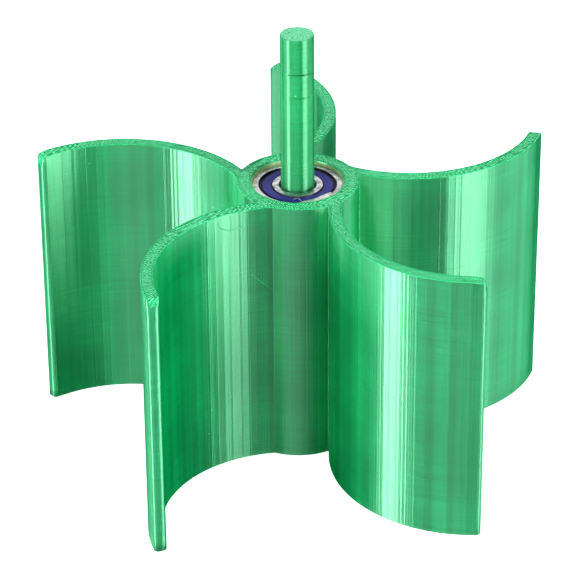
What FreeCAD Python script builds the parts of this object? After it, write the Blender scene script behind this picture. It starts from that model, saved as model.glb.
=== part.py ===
import FreeCAD, Part
import math
import os

# Vertical axis turbine rotor on two sealed ball bearings and a plain printed shaft.
# All sizes are in millimetres. The origin is the centre of the shaft's foot, +Z runs up the
# shaft, +X is to the right and -Y is the front.

# ---- rotor: one print, a hub tube with curved blades -----------------------------------------
blade_count = 5
rotor_height = 68.0
hub_outer_diameter = 28.7
hub_bore_diameter = 19.5          # between the two bearing seats
blade_thickness = 3.0
blade_mean_radius = 32.1          # bend radius of a blade's middle surface
blade_centre_distance = 43.5      # from the shaft axis to the axis a blade is bent about
blade_centre_azimuth = 195.4      # degrees, the first blade
blade_root_angle = 3.0            # degrees round the bend axis, from the line to the shaft axis
blade_tip_angle = 112.7
tip_corner_radius = 1.0

# ---- bearings: 8 x 22 x 7 deep groove, sealed on both sides -----------------------------------
bearing_bore = 8.0
bearing_outside_diameter = 22.0
bearing_width = 7.0
bearing_recess = 1.0              # ring face below the hub's end face
inner_shoulder_diameter = 12.0
outer_shoulder_diameter = 18.4
ball_count = 7
ball_diameter = 3.969
race_conformity = 0.52            # groove radius over ball diameter
bore_chamfer = 0.5
rim_chamfer = 0.3

# ---- cage: two pressed ribbons clinched together ----------------------------------------------
cage_sheet = 0.4
cage_width = 1.5
clinch_shank_radius = 0.3
clinch_head_radius = 0.5
clinch_head_height = 0.2

# ---- seal: moulded rubber washer, its bead in a groove of the outer ring ---------------------
seal_depth = 0.25                 # seal face below the ring face
seal_thickness = 0.6
seal_groove_depth = 0.3           # radial depth of the groove
seal_groove_width = 0.5
seal_rim_width = 0.95             # sunken black rim next to the outer ring
seal_rim_drop = 0.25

# ---- shaft: plain round bar with a shallow relief at the upper bearing's face -----------------
shaft_length = 106.0
shaft_diameter = 7.9
shaft_edge_chamfer = 0.3
relief_depth = 0.25
relief_height = 1.1
relief_above_bearing = 0.3

# ---- adhesive: bead that was run round the upper bearing --------------------------------------
adhesive_width = 0.85
adhesive_lip = 0.15
adhesive_step = 0.05              # top of the bead below the hub's end face

# ---- clearances -----------------------------------------------------------------------------
adhesive_gap = 0.02               # to the seat wall and to the ring face
seat_clearance = 0.03             # radial, outer ring in the hub
ball_clearance = 0.03             # radial, ball to race
pocket_clearance = 0.06           # radial, ball to cage
sheet_gap = 0.02                  # between the two cage halves
seal_clearance = 0.04             # seal lip to inner ring, and bead to groove

# ---- sizes that follow ----------------------------------------------------------------------
hub_radius = hub_outer_diameter / 2
seat_radius = bearing_outside_diameter / 2 + seat_clearance
seat_depth = bearing_recess + bearing_width
ball_radius = ball_diameter / 2
inner_shoulder = inner_shoulder_diameter / 2
outer_shoulder = outer_shoulder_diameter / 2
pitch_radius = (inner_shoulder + outer_shoulder) / 2
groove_radius = race_conformity * ball_diameter
mid_width = bearing_width / 2
UP = FreeCAD.Vector(0, 0, 1)


def ring(outer, inner, low, high):
    """Flat-ended tube round the Z axis between two heights."""
    tube = Part.makeCylinder(outer, high - low, FreeCAD.Vector(0, 0, low))
    return tube.cut(Part.makeCylinder(inner, high - low, FreeCAD.Vector(0, 0, low)))


def turned(points):
    """Solid of revolution of a closed outline given as (radius, height) corners."""
    corners = [FreeCAD.Vector(radius, 0, height) for radius, height in points]
    outline = Part.makePolygon(corners + corners[:1])
    return Part.Face(outline).revolve(FreeCAD.Vector(0, 0, 0), UP, 360)


def on_circle(count, radius, height):
    """Points evenly spaced on a circle round the Z axis, the first one on +X."""
    step = 2 * math.pi / count
    angles = [index * step for index in range(count)]
    return [FreeCAD.Vector(radius * math.cos(a), radius * math.sin(a), height) for a in angles]


def fused(shapes):
    """One shape out of many, with the seams between coplanar faces removed."""
    return shapes[0].multiFuse(shapes[1:]).removeSplitter()


def flat_blade():
    """One blade as a bent plate, before it is turned to its place and joined to the hub."""
    outer = blade_mean_radius + blade_thickness / 2
    inner = blade_mean_radius - blade_thickness / 2
    sweep = blade_tip_angle - blade_root_angle
    wedge = Part.makeCylinder(outer, rotor_height, FreeCAD.Vector(0, 0, 0), UP, sweep)
    plate = wedge.cut(Part.makeCylinder(inner, rotor_height))
    tip = math.radians(sweep)
    corners = []
    for edge in plate.Edges:
        middle = edge.CenterOfMass
        upright = abs(edge.Length - rotor_height) < 1e-6
        across = abs(math.atan2(middle.y, middle.x) - tip)
        if upright and across < 1e-6:
            corners.append(edge)
    plate = plate.makeFillet(tip_corner_radius, corners)
    plate.rotate(FreeCAD.Vector(0, 0, 0), UP, blade_root_angle + 180)
    plate.translate(FreeCAD.Vector(blade_centre_distance, 0, 0))
    return plate


def rotor():
    """Hub tube with a bearing seat in each end and the blades round it, all one print."""
    core = (hub_radius + seat_radius) / 2
    hub = Part.makeCylinder(hub_radius, rotor_height)
    plates = []
    for index in range(blade_count):
        plate = flat_blade()
        azimuth = blade_centre_azimuth + index * 360 / blade_count
        plate.rotate(FreeCAD.Vector(0, 0, 0), UP, azimuth)
        plates.append(plate.cut(Part.makeCylinder(core, rotor_height)))
    body = fused([hub] + plates)
    body = body.cut(Part.makeCylinder(hub_bore_diameter / 2, rotor_height))
    body = body.cut(Part.makeCylinder(seat_radius, seat_depth))
    top_seat = FreeCAD.Vector(0, 0, rotor_height - seat_depth)
    return body.cut(Part.makeCylinder(seat_radius, seat_depth, top_seat))


def shaft():
    """Plain bar: a journal up to the upper bearing's top face, then the free end."""
    relief_top = rotor_height - bearing_recess + relief_above_bearing
    relief_base = relief_top - relief_height
    radius = shaft_diameter / 2
    chamfer = shaft_edge_chamfer
    return turned([
        (0, 0),
        (radius - chamfer, 0),
        (radius, chamfer),
        (radius, relief_base),
        (radius - relief_depth, relief_base),
        (radius - relief_depth, relief_top),
        (radius, relief_top),
        (radius, shaft_length - chamfer),
        (radius - chamfer, shaft_length),
        (0, shaft_length),
    ])


def outer_ring():
    """Outer race with a ball groove and a seal groove near each face."""
    outside = bearing_outside_diameter / 2
    deep = outer_shoulder + seal_groove_depth
    near = seal_depth + seal_rim_drop - seal_clearance
    far = near + seal_groove_width
    body = turned([
        (outer_shoulder, 0),
        (outside - rim_chamfer, 0),
        (outside, rim_chamfer),
        (outside, bearing_width - rim_chamfer),
        (outside - rim_chamfer, bearing_width),
        (outer_shoulder, bearing_width),
    ])
    body = body.cut(ring(deep, outer_shoulder - 0.5, near, far))
    body = body.cut(ring(deep, outer_shoulder - 0.5, bearing_width - far, bearing_width - near))
    major = pitch_radius + ball_radius + ball_clearance - groove_radius
    return body.cut(Part.makeTorus(major, groove_radius, FreeCAD.Vector(0, 0, mid_width)))


def inner_ring():
    """Inner race with a ball groove and broad chamfers at the bore."""
    bore = bearing_bore / 2
    body = turned([
        (bore, bore_chamfer),
        (bore + bore_chamfer, 0),
        (inner_shoulder - rim_chamfer, 0),
        (inner_shoulder, rim_chamfer),
        (inner_shoulder, bearing_width - rim_chamfer),
        (inner_shoulder - rim_chamfer, bearing_width),
        (bore + bore_chamfer, bearing_width),
        (bore, bearing_width - bore_chamfer),
    ])
    major = pitch_radius - ball_radius - ball_clearance + groove_radius
    return body.cut(Part.makeTorus(major, groove_radius, FreeCAD.Vector(0, 0, mid_width)))


def cage_ribbon():
    """One pressed ribbon with a round pocket over each ball, lying just above Z = 0."""
    low = sheet_gap / 2
    inside = pitch_radius - cage_width / 2
    outside = pitch_radius + cage_width / 2
    hollow = ball_radius + pocket_clearance
    band = ring(outside, inside, low, low + cage_sheet)
    sleeve = ring(outside, inside, low, ball_diameter)
    centres = on_circle(ball_count, pitch_radius, 0)
    domes = [sleeve.common(Part.makeSphere(hollow + cage_sheet, centre)) for centre in centres]
    ribbon = fused([band] + domes)
    for centre in centres:
        ribbon = ribbon.cut(Part.makeSphere(hollow, centre))
    return ribbon


def clinch_points(height):
    """Points on the pitch circle halfway between the balls."""
    points = on_circle(2 * ball_count, pitch_radius, height)
    return points[1::2]


def cage_top_half():
    """Upper ribbon, with a hole for each clinch of the lower one."""
    ribbon = cage_ribbon()
    for point in clinch_points(0):
        ribbon = ribbon.cut(Part.makeCylinder(clinch_shank_radius + sheet_gap, 1, point))
    ribbon.translate(FreeCAD.Vector(0, 0, mid_width))
    return ribbon


def cage_bottom_half():
    """Lower ribbon with the clinches that pass through the upper one and close over it."""
    ribbon = cage_ribbon().mirror(FreeCAD.Vector(0, 0, 0), UP)
    base = -sheet_gap / 2 - cage_sheet / 2
    head = sheet_gap / 2 + cage_sheet + sheet_gap
    pieces = [ribbon]
    for foot, seat in zip(clinch_points(base), clinch_points(head)):
        pieces.append(Part.makeCylinder(clinch_shank_radius, head - base + 0.1, foot))
        pieces.append(Part.makeCylinder(clinch_head_radius, clinch_head_height, seat))
    body = fused(pieces)
    body.translate(FreeCAD.Vector(0, 0, mid_width))
    return body


def seal():
    """Upper seal: raised disc, sunken rim and the bead that snaps into the outer ring."""
    lip = inner_shoulder + seal_clearance
    bead = outer_shoulder + seal_groove_depth - seal_clearance
    step = outer_shoulder - seal_rim_width
    top = bearing_width - seal_depth
    rim = top - seal_rim_drop
    under = top - seal_thickness
    bead_under = rim - seal_groove_width + 2 * seal_clearance
    return turned([
        (lip, top - 0.1),
        (lip + 0.2, top),
        (step, top),
        (step + 0.2, rim),
        (bead, rim),
        (bead, bead_under),
        (outer_shoulder - 0.2, bead_under),
        (outer_shoulder - 0.5, under),
        (lip + 0.2, under),
        (lip, under + 0.2),
    ])


def adhesive_ring():
    """Hardened bead in the corner between the upper outer ring and the hub's seat."""
    outside = seat_radius - adhesive_gap
    base = rotor_height - bearing_recess + adhesive_gap
    top = rotor_height - adhesive_step
    return turned([
        (outside - adhesive_width, base),
        (outside, base),
        (outside, top),
        (outside - adhesive_lip, top),
        (outside - adhesive_width, base + adhesive_lip),
    ])


def export(shape, name, height):
    """Write one piece as its own file, lifted to its height."""
    placed = shape.copy()
    placed.translate(FreeCAD.Vector(0, 0, height))
    placed.exportStep(os.path.join("parts", name + ".step"))


os.makedirs("parts", exist_ok=True)
export(rotor(), "rotor", 0)
export(shaft(), "shaft", 0)
export(adhesive_ring(), "adhesive_ring", 0)

bearing_base = {
    "lower": bearing_recess,
    "upper": rotor_height - bearing_recess - bearing_width,
}
bearing_pieces = {
    "outer_ring": outer_ring(),
    "inner_ring": inner_ring(),
    "cage_top_half": cage_top_half(),
    "cage_bottom_half": cage_bottom_half(),
    "top_seal": seal(),
    "bottom_seal": seal().mirror(FreeCAD.Vector(0, 0, mid_width), UP),
}
for place, base in bearing_base.items():
    for piece, shape in bearing_pieces.items():
        export(shape, place + "_bearing_" + piece, base)
    for index, centre in enumerate(on_circle(ball_count, pitch_radius, mid_width)):
        name = "%s_bearing_ball_%d" % (place, index + 1)
        export(Part.makeSphere(ball_radius, centre), name, base)
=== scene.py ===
"""Vertical axis turbine rotor: its looks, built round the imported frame.

The rotor and its shaft are printed in silk PLA, the rotor turns on two sealed ball bearings, and a
bead of glue holds the upper one. Sizes in the classes are millimetres, meshes are metres.
"""
import logging
import math
from dataclasses import dataclass, field
from enum import Enum, IntEnum

import bpy
import numpy as np
from mathutils import Matrix, Vector
from mathutils.geometry import tessellate_polygon


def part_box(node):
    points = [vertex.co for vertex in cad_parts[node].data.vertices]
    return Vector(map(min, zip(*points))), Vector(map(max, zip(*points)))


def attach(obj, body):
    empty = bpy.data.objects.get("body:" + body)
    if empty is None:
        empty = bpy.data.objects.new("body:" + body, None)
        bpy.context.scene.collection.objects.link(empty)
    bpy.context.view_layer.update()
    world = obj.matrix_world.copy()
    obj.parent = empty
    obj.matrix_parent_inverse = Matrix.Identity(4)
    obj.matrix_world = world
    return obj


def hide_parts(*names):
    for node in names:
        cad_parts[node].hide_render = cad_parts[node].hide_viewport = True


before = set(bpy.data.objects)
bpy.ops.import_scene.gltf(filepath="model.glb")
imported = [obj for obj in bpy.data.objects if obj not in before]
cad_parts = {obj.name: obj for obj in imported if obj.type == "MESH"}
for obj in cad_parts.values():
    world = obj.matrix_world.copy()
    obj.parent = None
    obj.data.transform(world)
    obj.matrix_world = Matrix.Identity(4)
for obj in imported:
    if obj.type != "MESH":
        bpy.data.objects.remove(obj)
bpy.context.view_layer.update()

MM = 0.001
log = logging.getLogger("turbine")


# ---------------------------------------------------------------------------- small helpers


class Place(Enum):
    """The two ends of the hub that hold a bearing."""

    UPPER = "upper"
    LOWER = "lower"


class Side(Enum):
    """The two broad faces of a blade."""

    CONVEX = "convex"
    HOLLOW = "hollow"


class Surface(IntEnum):
    """Material numbers of a printed piece."""

    WALLS = 0
    ENDS = 1
    BEADS = 2


def linear(hex_colour: str) -> tuple[float, float, float, float]:
    """Turn an sRGB hex colour into the linear colour that shaders take.

    Args:
        hex_colour: six hex digits after a hash sign.

    Returns:
        Linear red, green, blue and an alpha of 1.
    """
    parts = [int(hex_colour[i : i + 2], 16) / 255 for i in (1, 3, 5)]
    bent = [p / 12.92 if p <= 0.04045 else ((p + 0.055) / 1.055) ** 2.4 for p in parts]
    return bent[0], bent[1], bent[2], 1.0


def add_node(tree: bpy.types.NodeTree, kind: str, settings: dict | None = None,
             inputs: dict | None = None) -> bpy.types.Node:
    """Add one node with its settings, values and links.

    Args:
        tree: the node tree to add to.
        kind: the node's type name.
        settings: attributes to set; "stops" fills a colour ramp with (place, colour) pairs.
        inputs: socket name or number to a value, or to the output socket that feeds it.

    Returns:
        The new node.
    """
    node = tree.nodes.new(kind)
    for name, value in (settings or {}).items():
        if name != "stops":
            setattr(node, name, value)
            continue
        elements = node.color_ramp.elements
        while len(elements) < len(value):
            elements.new(0.5)
        for element, (place, colour) in zip(elements, value):
            element.position = place
            element.color = colour
    for socket, value in (inputs or {}).items():
        if isinstance(value, bpy.types.NodeSocket):
            tree.links.new(value, node.inputs[socket])
        else:
            node.inputs[socket].default_value = value
    return node


def new_material(name: str) -> tuple[bpy.types.Material, bpy.types.NodeTree]:
    """Make an empty node material.

    Args:
        name: the material's name.

    Returns:
        The material and its node tree.
    """
    material = bpy.data.materials.new(name)
    material.use_nodes = True
    material.node_tree.nodes.clear()
    return material, material.node_tree


def grey(level: float) -> tuple[float, float, float, float]:
    """Return an opaque linear grey."""
    return level, level, level, 1.0


def ripple(angle: np.ndarray, seed: int, terms: int = 7) -> np.ndarray:
    """Work out a smooth periodic wobble.

    The wobble is a sum of sines of the angle, the n-th with a random phase and a size that
    falls as one over n, scaled so that it stays within about plus and minus one.

    Args:
        angle: angles in radians.
        seed: picks the phases, so that each use differs but repeats each run.
        terms: number of sines.

    Returns:
        One value per angle.
    """
    rng = np.random.default_rng(seed)
    orders = np.arange(1, terms + 1)
    phases = rng.uniform(0, 2 * np.pi, terms)
    sizes = rng.uniform(0.5, 1.0, terms) / orders
    waves = np.sin(np.multiply.outer(angle, orders) + phases) * sizes
    return waves.sum(-1) / sizes.sum() * 1.6


@dataclass
class Shell:
    """Vertices, faces and per-corner coordinates of a mesh that is being put together."""

    points: list[np.ndarray] = field(default_factory=list)
    faces: list[np.ndarray] = field(default_factory=list)
    corner_uv: list[np.ndarray] = field(default_factory=list)
    finish: list[np.ndarray] = field(default_factory=list)
    smooth: list[np.ndarray] = field(default_factory=list)
    count: int = 0

    def add_grid(self, grid: np.ndarray, uv: np.ndarray | None = None, finish: np.ndarray | int = 0,
                 smooth: np.ndarray | bool = True, wrap_rows: bool = False,
                 wrap_columns: bool = True) -> np.ndarray:
        """Add a surface given as a grid of points.

        A face joins each point to the next one along its row and in the next row.

        Args:
            grid: (rows, columns, 3) points in millimetres.
            uv: (rows + 1, columns + 1, 2) surface coordinates, or None for a plain row and
                column count.
            finish: material number for each (row, column) face, or one for all.
            smooth: shading for each (row, column) face, or one for all.
            wrap_rows: the last row joins the first.
            wrap_columns: each row is a closed loop.

        Returns:
            (rows, columns) vertex numbers.
        """
        rows, columns = grid.shape[:2]
        index = self.count + np.arange(rows * columns).reshape(rows, columns)
        self.points.append(grid.reshape(-1, 3))
        self.count += rows * columns
        r = np.arange(rows if wrap_rows else rows - 1)
        c = np.arange(columns if wrap_columns else columns - 1)
        rr, cc = np.meshgrid(r, c, indexing="ij")
        rn, cn = (rr + 1) % rows, (cc + 1) % columns
        quads = np.stack([index[rr, cc], index[rr, cn], index[rn, cn], index[rn, cc]], -1)
        if uv is None:
            down, across = np.meshgrid(np.arange(rows + 1.0), np.arange(columns + 1.0), indexing="ij")
            uv = np.stack([across, down], -1)
        corners = np.stack([uv[rr, cc], uv[rr, cc + 1], uv[rr + 1, cc + 1], uv[rr + 1, cc]], -2)
        self.faces.append(quads.reshape(-1, 4))
        self.corner_uv.append(corners.reshape(-1, 4, 2))
        self.finish.append(np.broadcast_to(finish, rr.shape).reshape(-1).astype(int))
        self.smooth.append(np.broadcast_to(smooth, rr.shape).reshape(-1).astype(bool))
        return index

    def add_triangles(self, triangles: np.ndarray, finish: int = 0, smooth: bool = False) -> None:
        """Add triangles between vertices that are already there, with flat map coordinates.

        Args:
            triangles: (n, 3) vertex numbers.
            finish: material number.
            smooth: whether they are shaded round.
        """
        points = np.concatenate(self.points)
        self.faces.append(triangles)
        self.corner_uv.append(points[triangles][..., :2])
        self.finish.append(np.full(len(triangles), finish))
        self.smooth.append(np.full(len(triangles), smooth))

    def add_pole(self, loop: np.ndarray, tip: tuple[float, float, float], finish: int = 0) -> None:
        """Close a loop of vertices with a fan of triangles to one point.

        Args:
            loop: vertex numbers, running left about the way out.
            tip: the point that they meet in, in millimetres.
            finish: material number.
        """
        self.points.append(np.array([tip], float))
        centre = self.count
        self.count += 1
        fan = np.stack([loop, np.roll(loop, -1), np.full(len(loop), centre)], -1)
        self.add_triangles(fan, finish, True)

    def build(self, name: str, materials: list[bpy.types.Material],
              crease: float | None = None) -> bpy.types.Object:
        """Turn the collected surface into an object at the origin.

        Args:
            name: the piece's name.
            materials: its materials, in the order of the material numbers.
            crease: angle in degrees past which an edge between smooth faces stays sharp.

        Returns:
            The object, linked to the scene.
        """
        faces = [f for block in self.faces for f in block.tolist()]
        mesh = bpy.data.meshes.new(name)
        mesh.from_pydata((np.concatenate(self.points) * MM).tolist(), [], faces)
        layer = mesh.uv_layers.new(name="print")
        flat = np.concatenate([block.reshape(-1, 2) for block in self.corner_uv])
        layer.data.foreach_set("uv", flat.reshape(-1).astype(np.float32))
        mesh.polygons.foreach_set("material_index", np.concatenate(self.finish).astype(np.int32))
        mesh.polygons.foreach_set("use_smooth", np.concatenate(self.smooth))
        for material in materials:
            mesh.materials.append(material)
        if crease is not None:
            mesh.set_sharp_from_angle(angle=math.radians(crease))
        mesh.update()
        piece = bpy.data.objects.new(name, mesh)
        bpy.context.scene.collection.objects.link(piece)
        return piece


def settle(piece: bpy.types.Object, body: str, slot: str, *stands_for: str) -> None:
    """Put a piece on its body, and hide the CAD nodes it stands for.

    Args:
        piece: the object.
        body: the body that it moves with.
        slot: not used.
        stands_for: the CAD nodes that it replaces.
    """
    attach(piece, body)
    if stands_for:
        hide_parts(*stands_for)
    log.info("%s: %d faces on %s", piece.name, len(piece.data.polygons), body)


def polar(length: float, angle: float) -> np.ndarray:
    """Return the plan vector of a length in a direction given in radians."""
    return length * np.array([math.cos(angle), math.sin(angle)])


def ring_grid(profile: np.ndarray, segments: int) -> np.ndarray:
    """Carry a (radius, height) profile once round the Z axis.

    Args:
        profile: (n, 2) radii and heights.
        segments: steps in a full turn.

    Returns:
        (n, segments, 3) points.
    """
    angle = np.arange(segments) * 2 * np.pi / segments
    radius, height = profile[:, :1], profile[:, 1:]
    flat = np.ones(segments)
    return np.stack([radius * np.cos(angle), radius * np.sin(angle), height * flat], -1)


def tube_grid(path: np.ndarray, radius: np.ndarray, sides: int) -> np.ndarray:
    """Carry a circle along a path.

    At each point the circle lies across the path's direction, on one axis level with the floor
    as far as it can be and another square to both.

    Args:
        path: (n, 3) points.
        radius: (n,) radius at each point.
        sides: points round the circle.

    Returns:
        (n, sides, 3) points.
    """
    along = np.gradient(path, axis=0)
    along /= np.linalg.norm(along, axis=1, keepdims=True)
    level = np.cross(along, [0.13, 0.21, 0.97])
    level /= np.linalg.norm(level, axis=1, keepdims=True)
    square = np.cross(along, level)
    turn = np.arange(sides) * 2 * np.pi / sides
    ring = (np.cos(turn)[None, :, None] * level[:, None] + np.sin(turn)[None, :, None] * square[:, None])
    return path[:, None] + ring * radius[:, None, None]


# ---------------------------------------------------------------------------- finishes


@dataclass(frozen=True)
class SilkWalls:
    """Silk PLA laid down in layers: the upright faces of a print.

    The plastic carries pearl pigment, so it shines more than plain plastic. Its surface is a stack of beads,
    which smears each highlight upwards and downwards into a tall sharp-sided band, with faint level lines and
    upright streaks. The upright streaks and broad upright bands of a darker green are also painted into the
    colour, as painted streaks of sheen.
    """

    name: str = "silk_pla_printed_walls"
    green: str = "#00a269"
    # the darker green of the broad bands of painted sheen
    painted_sheen_band_green: str = "#008a57"
    dust: str = "#9fe6c0"
    pearl_tint: str = "#bcffd8"
    ior: float = 2.8
    roughness: float = 0.42
    stretch: float = 1.0
    layer_pitch: float = 0.42         # real layers are 0.2; drawn at twice that so that they show
    layer_depth: float = 0.05
    layer_drift: float = 0.035        # changes per millimetre along one layer
    layer_shade: tuple[float, float] = (0.76, 1.1)
    streak_width: float = 0.55
    streak_depth: float = 0.045
    # painted sheen: the streaks also lighten and darken the colour by this range
    painted_sheen_streaks: tuple[float, float] = (0.92, 1.06)
    # broad upright bands of the darker green along the wall: painted sheen
    painted_sheen_bands_per_mm: float = 0.3
    patches_per_mm: float = 0.06
    speck_spacing: float = 5.0
    speck_reach: float = 0.035        # a speck's radius over the spacing
    speck_missing: float = 0.6        # share of the places that stay bare

    def make(self) -> bpy.types.Material:
        """Build the material on the print's own surface coordinates, in millimetres.

        Returns:
            The material.
        """
        material, tree = new_material(self.name)
        place = add_node(tree, "ShaderNodeUVMap", {"uv_map": "print"})
        parts = add_node(tree, "ShaderNodeSeparateXYZ", inputs={0: place.outputs[0]})
        streak = add_node(tree, "ShaderNodeTexNoise", {"noise_dimensions": "1D"},
                          {"W": parts.outputs[0], "Scale": 1 / self.streak_width, "Detail": 2.0})
        # painted sheen: broad upright bands that blend the two greens along the wall
        band = add_node(tree, "ShaderNodeTexNoise", {"noise_dimensions": "1D"},
                        {"W": parts.outputs[0], "Scale": self.painted_sheen_bands_per_mm, "Detail": 3.0})
        painted_sheen_banded = add_node(tree, "ShaderNodeMapRange", inputs={0: band.outputs[0], 1: 0.35, 2: 0.65})
        stretched = add_node(tree, "ShaderNodeVectorMath", {"operation": "MULTIPLY"},
                             {0: place.outputs[0], 1: (self.layer_drift, 1 / self.layer_pitch, 0)})
        layer = add_node(tree, "ShaderNodeTexNoise", {"noise_dimensions": "2D"},
                         {"Vector": stretched.outputs[0], "Scale": 1.0, "Detail": 1.0})
        patch = add_node(tree, "ShaderNodeTexNoise", {"noise_dimensions": "2D"},
                         {"Vector": place.outputs[0], "Scale": self.patches_per_mm, "Detail": 2.0})
        fade = add_node(tree, "ShaderNodeMapRange",
                        inputs={0: patch.outputs[0], 1: 0.35, 2: 0.65, 3: 0.35, 4: 1.0})
        lines = add_node(tree, "ShaderNodeMath", {"operation": "MULTIPLY"},
                         {0: layer.outputs[0], 1: fade.outputs[0]})
        rise = add_node(tree, "ShaderNodeBump", inputs={"Strength": 1.0, "Distance": self.layer_depth * MM,
                                                        "Height": lines.outputs[0]})
        wave = add_node(tree, "ShaderNodeBump", inputs={
            "Strength": 1.0, "Distance": self.streak_depth * MM, "Height": streak.outputs[0],
            "Normal": rise.outputs[0]})
        painted_light_tone = add_node(tree, "ShaderNodeMix", {"data_type": "RGBA"},
                        {"Factor": painted_sheen_banded.outputs[0], "A": linear(self.green), "B": linear(self.painted_sheen_band_green)})
        uneven = add_node(tree, "ShaderNodeMapRange",
                          inputs={0: lines.outputs[0], 1: 0.1, 2: 0.6,
                                  3: self.layer_shade[0], 4: self.layer_shade[1]})
        # painted sheen: the upright streaks lighten and darken the colour
        painted_sheen_striped = add_node(tree, "ShaderNodeMapRange",
                           inputs={0: streak.outputs[0], 1: 0.3, 2: 0.7,
                                   3: self.painted_sheen_streaks[0], 4: self.painted_sheen_streaks[1]})
        shade = add_node(tree, "ShaderNodeMath", {"operation": "MULTIPLY"},
                         {0: uneven.outputs[0], 1: painted_sheen_striped.outputs[0]})
        lined = add_node(tree, "ShaderNodeMix", {"data_type": "RGBA", "blend_type": "MULTIPLY"},
                         {"Factor": 1.0, "A": painted_light_tone.outputs["Result"], "B": shade.outputs[0]})
        spot_place = add_node(tree, "ShaderNodeTexCoord")
        spots = add_node(tree, "ShaderNodeTexVoronoi", inputs={"Vector": spot_place.outputs["Object"],
                                                               "Scale": 1 / (self.speck_spacing * MM)})
        near = add_node(tree, "ShaderNodeMath", {"operation": "LESS_THAN"},
                        {0: spots.outputs["Distance"], 1: self.speck_reach})
        chosen = add_node(tree, "ShaderNodeSeparateColor", inputs={0: spots.outputs["Color"]})
        some = add_node(tree, "ShaderNodeMath", {"operation": "GREATER_THAN"},
                        {0: chosen.outputs[0], 1: self.speck_missing})
        speck = add_node(tree, "ShaderNodeMath", {"operation": "MULTIPLY"},
                         {0: near.outputs[0], 1: some.outputs[0]})
        colour = add_node(tree, "ShaderNodeMix", {"data_type": "RGBA"},
                          {"Factor": speck.outputs[0], "A": lined.outputs["Result"], "B": linear(self.dust)})
        rough = add_node(tree, "ShaderNodeMapRange", inputs={0: layer.outputs[0], 3: self.roughness - 0.05,
                                                             4: self.roughness + 0.05})
        across = add_node(tree, "ShaderNodeTangent", {"direction_type": "UV_MAP", "uv_map": "print"})
        shader = add_node(tree, "ShaderNodeBsdfPrincipled", inputs={
            "Base Color": colour.outputs["Result"], "Roughness": rough.outputs[0], "IOR": self.ior,
            "Specular IOR Level": 1.0, "Specular Tint": linear(self.pearl_tint),
            "Anisotropic": self.stretch, "Anisotropic Rotation": 0.25,
            "Normal": wave.outputs[0], "Tangent": across.outputs[0]})
        add_node(tree, "ShaderNodeOutputMaterial", inputs={0: shader.outputs[0]})
        return material


@dataclass(frozen=True)
class SilkEnds:
    """Silk PLA as the last layer leaves it: the level faces of a print.

    Short strokes of bead at 45 degrees with small gaps between them, so the face is lighter and grainier than
    the walls and shines in dots. The colour follows the height of the strokes: low parts and pits are painted
    darker as painted shade, high parts lighter as painted highlight.
    """

    name: str = "silk_pla_printed_ends"
    green: str = "#18b873"
    # the colour of painted shade in low parts and pits
    painted_pit_shade: str = "#007843"
    # crest: the colour of painted highlight on the tops of the strokes
    crest: str = "#8cf5c2"
    sheen_tint: str = "#a8f0cc"
    ior: float = 1.7
    roughness: float = 0.45
    stroke_width: float = 0.5
    stroke_depth: float = 0.03
    stroke_share: float = 0.35
    grain: float = 0.4
    pit_spacing: float = 0.9

    def make(self) -> bpy.types.Material:
        """Build the material on object coordinates.

        Returns:
            The material.
        """
        material, tree = new_material(self.name)
        place = add_node(tree, "ShaderNodeTexCoord")
        turned = add_node(tree, "ShaderNodeMapping", inputs={"Vector": place.outputs["Object"],
                                                             "Rotation": (0, 0, math.radians(45))})
        # a wave of scale 1 repeats every pi / 10 units
        scale = math.pi / 10 / (self.stroke_width * MM)
        strokes = add_node(tree, "ShaderNodeTexWave", {"wave_type": "BANDS", "bands_direction": "X"},
                           {"Vector": turned.outputs[0], "Scale": scale, "Distortion": 1.2, "Detail": 1.0,
                            "Detail Scale": 0.6})
        grain = add_node(tree, "ShaderNodeTexNoise", inputs={"Vector": place.outputs["Object"],
                                                             "Scale": 1 / (self.grain * MM), "Detail": 3.0})
        pits = add_node(tree, "ShaderNodeTexVoronoi", inputs={"Vector": place.outputs["Object"],
                                                              "Scale": 1 / (self.pit_spacing * MM)})
        hole = add_node(tree, "ShaderNodeMapRange", inputs={0: pits.outputs["Distance"], 1: 0.12, 2: 0.3,
                                                            3: 1.0, 4: 0.0})
        mixed = add_node(tree, "ShaderNodeMix", {"data_type": "FLOAT"},
                         {"Factor": 1 - self.stroke_share, "A": strokes.outputs[1], "B": grain.outputs[0]})
        height = add_node(tree, "ShaderNodeMath", {"operation": "SUBTRACT"},
                          {0: mixed.outputs["Result"], 1: hole.outputs[0]})
        bump = add_node(tree, "ShaderNodeBump", inputs={"Strength": 1.0, "Distance": self.stroke_depth * MM,
                                                        "Height": height.outputs[0]})
        # painted light: darker low on the strokes as painted shade, lighter high as painted highlight
        painted_light_tone = add_node(tree, "ShaderNodeValToRGB",
                        {"stops": [(0.28, linear(self.painted_pit_shade)), (0.48, linear(self.green)),
                                   (0.68, linear(self.crest))]},
                        {0: mixed.outputs["Result"]})
        # painted shade in the pits
        colour = add_node(tree, "ShaderNodeMix", {"data_type": "RGBA"},
                          {"Factor": hole.outputs[0], "A": painted_light_tone.outputs[0], "B": linear(self.painted_pit_shade)})
        shader = add_node(tree, "ShaderNodeBsdfPrincipled", inputs={
            "Base Color": colour.outputs["Result"], "Roughness": self.roughness, "IOR": self.ior,
            "Specular IOR Level": 0.8, "Specular Tint": linear(self.sheen_tint),
            "Normal": bump.outputs[0]})
        add_node(tree, "ShaderNodeOutputMaterial", inputs={0: shader.outputs[0]})
        return material


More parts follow.
